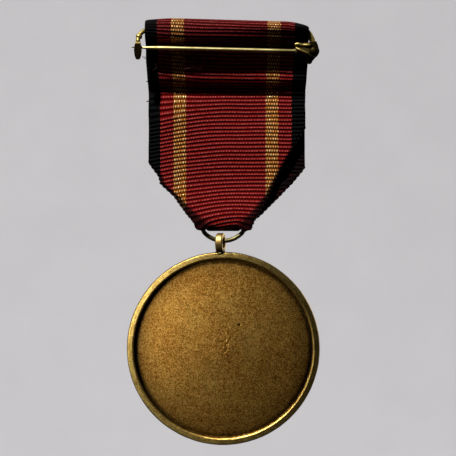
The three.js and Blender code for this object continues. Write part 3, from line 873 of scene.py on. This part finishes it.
def ribbon():
    """The ribbed cloth round its loop, and the loop's length in millimetres."""
    stations = 4000
    loop = spline(CLOTH_LOOP, stations, closed=True)
    length = lengths(np.diff(np.vstack([loop, loop[:1]]), axis=0)).sum()
    ribs = 2 * round(length / RIB_PITCH / 2)
    along = np.arange(stations) * length / stations
    tangent = unit(np.roll(loop, -1, 0) - np.roll(loop, 1, 0))
    top = along[np.argmax(loop[:, 1])]

    rows = ribs * RIB_SAMPLES
    row_at = np.repeat(np.arange(rows) * length / rows, 2 * COLUMNS)
    across = np.linspace(-RIBBON_WIDTH / 2, RIBBON_WIDTH / 2, COLUMNS)
    across = np.tile(np.concatenate([across, across[::-1]]), rows)
    side = np.tile(np.repeat([1.0, -1.0], COLUMNS), rows)
    on_back = row_at > top
    bow = rib_bow(row_at, np.interp(row_at, along, loop[:, 1]), across, on_back)
    settle = np.clip(np.minimum(row_at, length - row_at) / 1.5, 0, 1)
    at = (row_at + bow * settle) % length

    def sample(values):
        return np.interp(at, np.append(along, length), np.append(values, values[0]))

    y, z = sample(loop[:, 0]), sample(loop[:, 1])
    out_y, out_z = sample(tangent[:, 1]), sample(-tangent[:, 0])
    back_left, back_right = keyed(BACK_FOLDS, z)
    front_left, front_right = keyed(FRONT_FOLDS, z)
    blend = np.clip((at - top) / 2 + 0.5, 0, 1)
    left = -(front_left + (back_left - front_left) * blend)
    right = front_right + (back_right - front_right) * blend
    x, inward, angle = turned_in(across, left, right)

    rib_number = row_at / length * ribs
    crest = np.abs(np.cos(math.pi * rib_number)) ** 0.85
    flat_share = np.clip(np.abs(across) - (RIBBON_WIDTH / 2 - 0.35), 0, 0.35) / 0.35
    half = CLOTH_VALLEY / 2 + RIB_HEIGHT * crest * (1 - 0.55 * flat_share)
    depth = -(CLOTH_VALLEY / 2 + RIB_HEIGHT) - inward + side * half * np.cos(angle)
    x += np.sign(across) * side * half * np.sin(angle)
    y = y + out_y * depth - np.where(on_back, sag(x, z), 0)
    x, y, z = slumped(x, y, z + out_z * depth)

    points = np.stack([x, y, z], 1)
    drift = 0.05 * wavy(points[:: 2 * COLUMNS], 3.0, 12)
    points[:, 0] += np.repeat(drift, 2 * COLUMNS)
    faces = grid_faces(rows, 2 * COLUMNS, wrap_rows=True, wrap_columns=True)
    cloth = mesh_object("ribbon_cloth", points, faces, striped_rep())
    inner_face = side == np.where(angle > math.pi / 2, 1.0, -1.0)
    point_attribute(cloth, "across_mm", across + 0.2)
    point_attribute(cloth, "rib_number", rib_number)
    # Painted shade marks for the material: along the folded sides, inside the flap and round the hump.
    point_attribute(cloth, "ribbon_painted_shade", painted_ribbon_shade(x, y, z, left, right, on_back, inner_face))
    point_attribute(cloth, "hump_painted_shade", past(z, -0.5, 2) * before(y, 4.5, 2))
    return cloth, length


def stitching():
    """Two-ply thread in a running stitch through the pinch."""
    pitch, stitches, rear, front, z = 4.4, 6, 5.5, 7.45, -7.3
    route = []
    for i in range(stitches):
        x = (i - stitches / 2) * pitch
        route += [[x, rear + 0.15, z], [x + 0.35, rear, z], [x + 2.05, rear, z], [x + 2.4, rear + 0.35, z]]
        route += [[x + 2.5, front - 0.35, z], [x + 2.85, front, z], [x + 4.0, front, z]]
        route.append([x + 4.3, front - 0.35, z])
    path = spline(route, 1500)
    _, across, up = frames_along(path)
    ply, twist = 0.07, 2 * math.pi / 0.55
    along = np.linspace(0, lengths(np.diff(path, axis=0)).sum(), len(path))
    strands = []
    for start in (0, math.pi):
        turn = along * twist + start
        offset = np.cos(turn)[:, None] * across + np.sin(turn)[:, None] * up
        strands.append(tube(path + offset * ply * 0.9, ply, 8))
    points, faces = joined(strands + loose_fibres())
    thread = mesh_object("stitch_thread", points, faces, sewing_thread())
    point_attribute(thread, "black_and_painted_shade", points[:, 0] < 0.6 - RIBBON_WIDTH / 2)
    return thread


def loose_fibres():
    """Frayed thread ends under the pin, and a few broken warp ends at the left selvedge."""
    chance = random.Random(5)
    fibres = []
    for _ in range(46):
        x, z = chance.gauss(-7.0, 3.2), chance.uniform(-3.6, -0.9)
        y = np.interp(z, [-3.6, -1.9, -0.5], [3.6, 3.3, 2.8])
        walk = [[x, y, z]]
        for step in range(6):
            out = 0.16 + 0.3 * math.sin(math.pi * (step + 1) / 6)
            x, z = x + chance.gauss(0.1, 0.5), z + chance.gauss(0.0, 0.32)
            walk.append([x, y - out, z])
        fibres.append(tube(spline(walk, 26), 0.035, 5))
    for z, y in ((-6.2, 4.5), (-2.6, 3.5), (-9.8, 5.1)):
        start, lift = -RIBBON_WIDTH / 2 + 0.3, chance.uniform(-0.3, 0.2)
        spur = [[start, y, z], [start - 0.45, y - 0.1, z + lift / 2], [start - 0.8, y, z + lift]]
        fibres.append(tube(spline(spur, 10), [0.1] * 7 + [0.08, 0.05, 0.02], 6))
    return fibres


# ---------- brooch

SHEET = 0.4  # brass sheet of the hinge and the catch
CATCH_X = -16.7


def pin_catch(material):
    """A bent arm from the bar, a collar, and a lip that hangs over the pin."""
    start = BAR_LOW[0] - 0.3
    arm_path = [[start, 0.58, 3.2], [start - 0.9, 0.5, 3.05], [CATCH_X + 0.35, 0, 2.3]]
    arm_path += [[CATCH_X + 0.05, -0.35, 1.6], [CATCH_X, -0.62, 0.95]]
    arm = rod(arm_path, 30, [0, 0.5, 1], [0.45, 0.42, 0.40], 16)
    collar = tube(spline([[CATCH_X + 0.24, -0.16, 2.05], [CATCH_X + 0.13, -0.3, 1.72]], 6), 0.60, 20)
    inside = -0.58 - SHEET / 2
    lip = [(0.28, 0.9), (-0.3, 0.92), (inside + 0.03, 0.55), (inside, 0.0), (inside, -1.6)]
    route = spline(lip + [(inside + 0.04, -2.5)], 40)
    share = np.linspace(0, 1, len(route))
    width = np.interp(share, [0, 0.2, 0.42, 0.6, 0.82, 0.93, 1], [0.42, 0.45, 0.66, 0.74, 0.62, 0.48, 0.3])
    half = SHEET / 2
    points = []
    for (y, z), w, (along_y, along_z) in zip(route, width, unit(np.gradient(route, axis=0))):
        for x, side in ((-w, -half), (w, -half), (w, half), (-w, half)):
            points.append([CATCH_X + x, y - side * along_z, z + side * along_y])
    faces = grid_faces(len(route), 4, wrap_columns=True).tolist()
    faces += [[0, 1, 2, 3], [len(points) - 1 - i for i in range(4)]]
    catch = fused("catch_folded", [arm, collar, (np.array(points), faces)], material, 0.05, 4)
    z = points_of(catch)[:, 2]
    # Painted shade: the lip's lower part black.
    point_attribute(catch, "black_and_painted_shade", before(z, 0.75, 0.35))
    return catch


def pivot_bore():
    """The round hole that the rivet goes through."""
    return arc(PIVOT_X, PIVOT_Z, 0.45, 0, 345, 23)


def from_pivot(*corners):
    return [[PIVOT_X + x, z] for x, z in corners]


def hinge_bracket(material):
    """Two ears of folded sheet with the pin's root between them, raised edges and an arm to the bar."""
    inside, outside, shoulder = 0.65, 0.65 + SHEET, 0.5
    web_top = shoulder + SHEET
    ear = 1.15
    bore = pivot_bore()
    rear_ear = arc(PIVOT_X, PIVOT_Z, ear, -150, 0, 18)
    rear_ear += from_pivot((ear - 0.35, 0.35), (ear - 0.7, 0.75), (-0.7, web_top - 0.15), (-0.95, 0.62))
    rear_ear += [[13.1, 0.42], [12.7, 0.3], [12.8, -0.15], [13.3, -0.8]]
    front_ear = arc(PIVOT_X, PIVOT_Z, ear, -60, 0, 8)
    front_ear += from_pivot((ear - 0.3, web_top - 0.25), (ear - 0.55, web_top), (-0.7, web_top))
    front_ear += arc(PIVOT_X, PIVOT_Z, ear, 160, 215, 6)
    front_ear += arc(PIVOT_X - 0.65, PIVOT_Z - 1.75, 0.55, 180, 360, 10)
    web = from_pivot((-0.7, shoulder), (0.7, shoulder), (0.6, web_top), (-0.7, web_top))
    start = BAR_HIGH[0] + 0.3
    arm = from_pivot((-0.5, shoulder + 0.1), (0.5, shoulder + 0.1), (0.35, 1.5), (-0.2, 2.6))
    arm = [[start, 2.2], [15.2, 2.1], *arm, [15.4, 3.3], [start, 3.5]]
    lip_y = -outside - 0.1
    upper_lip = [[12.75, lip_y, 0.28], [13.2, lip_y, 0.36], [14.2, lip_y, 0.2]]
    upper_lip += [[15.3, lip_y, 0.16], [15.8, lip_y + 0.1, 0.2]]
    lower_lip = [[12.95, lip_y + 0.1, -0.35], [13.4, lip_y, -0.62]]
    lower_lip += [[14.3, lip_y, -1.0], [15.2, lip_y + 0.1, -1.35]]
    parts = [
        plate(rear_ear, -outside, -inside, bore),
        plate(front_ear, inside, outside, bore),
        plate(web, -outside, outside),
        plate(arm, 0.3, 0.85),
        rod(upper_lip, 24, [0, 0.2, 0.5, 0.8, 1], [0.2, 0.31, 0.2, 0.28, 0.22], 14),
        rod(lower_lip, 24, [0, 0.3, 1], [0.18, 0.27, 0.18], 14),
    ]
    hinge = fused("hinge_folded", parts, material, 0.05, 4)
    x, y, z = points_of(hinge).T
    # Painted shade: the knuckle black and the hollow between the lips dark; the lips stay clean.
    knuckle = past(x, 15.0, 0.5) * before(z, 1.2, 0.5)
    hollow = 0.8 * before(y, -0.9, 0.1) * past(y, -1.17, 0.05)
    lips = (y < -1.22) & (x < 15.6)
    point_attribute(hinge, "black_and_painted_shade", np.where(lips, 0, np.maximum(knuckle, hollow)))
    return hinge


def rivet(material):
    """A short rivet with two low peened heads, painted black as shade."""
    start, end, head = 1.17, 1.45, 0.66
    dome = [(0, -end), (0.2, -end + 0.005), (0.42, -end + 0.05), (0.58, -end + 0.15), (head, -start - 0.05)]
    dome += [(head - 0.02, -start), (0.35, -start)]
    profile = dome + [(r, -y) for r, y in dome[::-1]]
    points, faces = lathe(profile, 48)
    points += [PIVOT_X, 0, PIVOT_Z]
    peened = mesh_object("rivet_peened", points, faces, material)
    # Painted shade: the whole rivet nearly black.
    point_attribute(peened, "black_and_painted_shade", np.full(len(points), 0.95))
    return peened


def pin_axis_z(x):
    """The height of the pin's middle, sloping down a little towards the hinge."""
    return -0.12 - 0.024 * (x - PIN_TIP_X)


def pin():
    """A tapered wire with its root hammered flat and bored."""
    radius = 0.4
    shank = 13.1 - PIN_TIP_X
    stations = [0, 0.05, 0.3, 1.0, 1.8, 4.0, 5.5, 8.0, shank]
    sizes = [0.03, 0.07, 0.12, 0.17, 0.22, 0.33, 0.39, radius, radius]
    along = np.concatenate([np.linspace(0, 2, 14), np.linspace(2.2, shank, 90)])
    x = PIN_TIP_X + along
    shaft = tube(np.stack([x, np.zeros_like(x), pin_axis_z(x)], 1), np.interp(along, stations, sizes), 24)
    flat, eye_radius = 0.36, 0.98
    root = arc(PIVOT_X, PIVOT_Z, eye_radius, -125, 80, 26)
    root += [[13.2, -0.45], [12.6, -0.5], [12.6, -1.2], [13.2, -1.27]]
    bright, dull = colour(248, 232, 164), colour(190, 168, 100)
    material = tarnished_brass("pin_brass", bright, dull, 0.38, 0.25, (0.15, 1, 1))
    drawn = fused("pin_drawn", [shaft, plate(root, -flat, flat, pivot_bore())], material, 0.055, 3)
    x, _, z = points_of(drawn).T
    # Painted shade: darker under the pin, along its middle and right part and at its tip.
    beneath = np.clip((pin_axis_z(x) - z) / 0.15, 0, 1)
    worn_and_painted_shade = 0.38 * past(x, -12, 5) + 0.35 * past(x, 8, 3)
    tip = 0.9 * before(x, -17.2, 0.3)
    point_attribute(drawn, "black_and_painted_shade", np.clip(worn_and_painted_shade + 0.3 * beneath + tip, 0, 0.95))
    return drawn


def bar(material):
    """The flat bar inside the top fold, with rolled edges and a narrower end at the hinge."""
    low, high = BAR_LOW, BAR_HIGH
    rounding, taper = 0.5, 0.55
    outline = []
    for cx, cz, start in (
        (high[0] - rounding, high[2] - rounding - taper, 0),
        (low[0] + rounding, high[2] - rounding, 90),
        (low[0] + rounding, low[2] + rounding, 180),
        (high[0] - rounding, low[2] + rounding, 270),
    ):
        outline += arc(cx, cz, rounding, start, start + 90, 6)
    return fused("bar_rolled", [plate(outline, low[1], high[1])], material, 0.09, 3)


# ---------- studio

SUN_AZIMUTH = math.radians(112)  # of the light in the plane of the medal's back, from +X towards +Z
SUN_OFF_NORMAL = math.radians(58)
TO_SUN = (
    math.sin(SUN_OFF_NORMAL) * math.cos(SUN_AZIMUTH),
    -math.cos(SUN_OFF_NORMAL),
    math.sin(SUN_OFF_NORMAL) * math.sin(SUN_AZIMUTH),
)
WALL_Y = 0.9
WALL_CURVE = 0.2
FLOOR_Z = -0.5
CAMERA_DISTANCE = 0.280  # from the disc's back
VIEW_WIDTH = 0.0873  # at that distance
VIEW_CENTRE = (0.0002, -0.0341)


def aim(thing, direction):
    """Turns a lamp or camera so that it looks along direction."""
    thing.rotation_mode = "QUATERNION"
    thing.rotation_quaternion = Vector(direction).to_track_quat("-Z", "Y")


def lamp(name, kind, energy, tint, towards, at=(0, 0, 0)):
    data = bpy.data.lights.new(name, kind)
    data.energy = energy
    data.color = tint
    thing = in_scene(name, data)
    thing.location = at
    aim(thing, towards)
    return thing


def sweep_sideways(name, profile, lean, material):
    """A sheet of studio paper, from its Y and Z profile in metres and each point's lean in radians."""
    xs = np.linspace(-3.0, 3.0, 7)
    points = np.array([[x, y, z] for y, z in profile for x in xs]) / MM
    sheet = mesh_object(name, points, grid_faces(len(profile), len(xs)), material)
    _, ahead, up = TO_SUN
    facing = np.sin(lean) * -ahead + np.cos(lean) * up
    upright, most = -ahead, math.hypot(ahead, up)
    turned_away = (1 / facing - 1 / most) / (1 / upright - 1 / most)
    point_attribute(sheet, "turned_away", np.repeat(turned_away, len(xs)))
    return sheet


def studio():
    """Paper, sun, softbox and fill; returns the collection that the softbox reaches."""
    paper = studio_paper()
    foot = WALL_Y - WALL_CURVE
    flat = [(-3.0, FLOOR_Z), (0.0, FLOOR_Z), (foot, FLOOR_Z)]
    floor = sweep_sideways("studio_floor", flat, np.zeros(len(flat)), paper)
    floor.visible_diffuse = False
    floor.visible_glossy = False
    lean = np.radians(np.append(np.arange(0, 91, 5), 90))
    rise = [(foot + WALL_CURVE * math.sin(a), FLOOR_Z + WALL_CURVE * (1 - math.cos(a))) for a in lean[:-1]]
    wall = sweep_sideways("studio_wall", rise + [(WALL_Y, 2.0)], lean, paper)

    key = lamp("key", "SUN", 4.6, (1.0, 0.985, 0.955), -Vector(TO_SUN))
    key.data.angle = math.radians(3)
    sheen_from, sheen_along = (-0.31, -0.372, 0.033), (0.31, 0.372, -0.09)
    sheen = lamp("left_softbox", "AREA", 1.15, (1.0, 0.97, 0.92), sheen_along, sheen_from)
    sheen.data.size = 0.07
    fill = lamp("right_fill", "AREA", 1.1, (1.0, 0.99, 0.97), (-0.50, -0.42, -0.15), (0.50, 0.42, 0.12))
    fill.data.size = 0.3
    fill.visible_camera = False
    lit = bpy.data.collections.new("softbox_reaches")
    sheen.light_linking.receiver_collection = lit
    return lit


def studio_air():
    """A dim warm world that lights the medal, and pale grey where the camera sees past the paper."""
    world = bpy.data.worlds.new("studio_air")
    world.use_nodes = True
    bpy.context.scene.world = world
    nodes, link = world.node_tree.nodes, world.node_tree.links.new
    air, seen = nodes["Background"], nodes.new("ShaderNodeBackground")
    air.inputs["Color"].default_value = (1.0, 0.95, 0.88, 1)
    air.inputs["Strength"].default_value = 0.016
    seen.inputs["Color"].default_value = (*colour(199, 198, 203), 1)
    switch = nodes.new("ShaderNodeMixShader")
    link(nodes.new("ShaderNodeLightPath").outputs["Is Camera Ray"], switch.inputs["Fac"])
    link(air.outputs["Background"], switch.inputs[1])
    link(seen.outputs["Background"], switch.inputs[2])
    link(switch.outputs["Shader"], nodes["World Output"].inputs["Surface"])
    bpy.context.scene.view_settings.view_transform = "Standard"


def camera():
    """Square on to the medal's back, from about arm's length."""
    data = bpy.data.cameras.new("camera")
    data.sensor_width = 36
    data.lens = data.sensor_width * CAMERA_DISTANCE / VIEW_WIDTH
    data.clip_start = 0.01
    thing = in_scene("camera", data)
    thing.location = (VIEW_CENTRE[0], DISC_LOW[1] * MM - CAMERA_DISTANCE, VIEW_CENTRE[1])
    aim(thing, (0, 1, 0))
    bpy.context.scene.camera = thing


# ---------- assembly


def place(piece, body, node):
    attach(piece, body)
    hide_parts(node)


camera()
softbox_reaches = studio()
studio_air()

struck_disc = disc()
softbox_reaches.objects.link(struck_disc)
place(struck_disc, "medal", "medal_disc")
place(eye(), "medal", "suspension_eye")
place(ring(), "ring", "suspension_ring")

brass = tarnished_brass("catch_brass", colour(206, 186, 108), colour(96, 78, 36), 0.42, 0.4)
place(bar(brass), "brooch_and_ribbon", "brooch_bar")
place(pin_catch(brass), "brooch_and_ribbon", "pin_catch")
place(hinge_bracket(brass), "brooch_and_ribbon", "hinge_bracket")
place(rivet(brass), "brooch_and_ribbon", "hinge_rivet")
place(pin(), "pin", "pin_wire")

cloth, cloth_length = ribbon()
place(cloth, "brooch_and_ribbon", "ribbon")
place(stitching(), "brooch_and_ribbon", "ribbon_stitching")
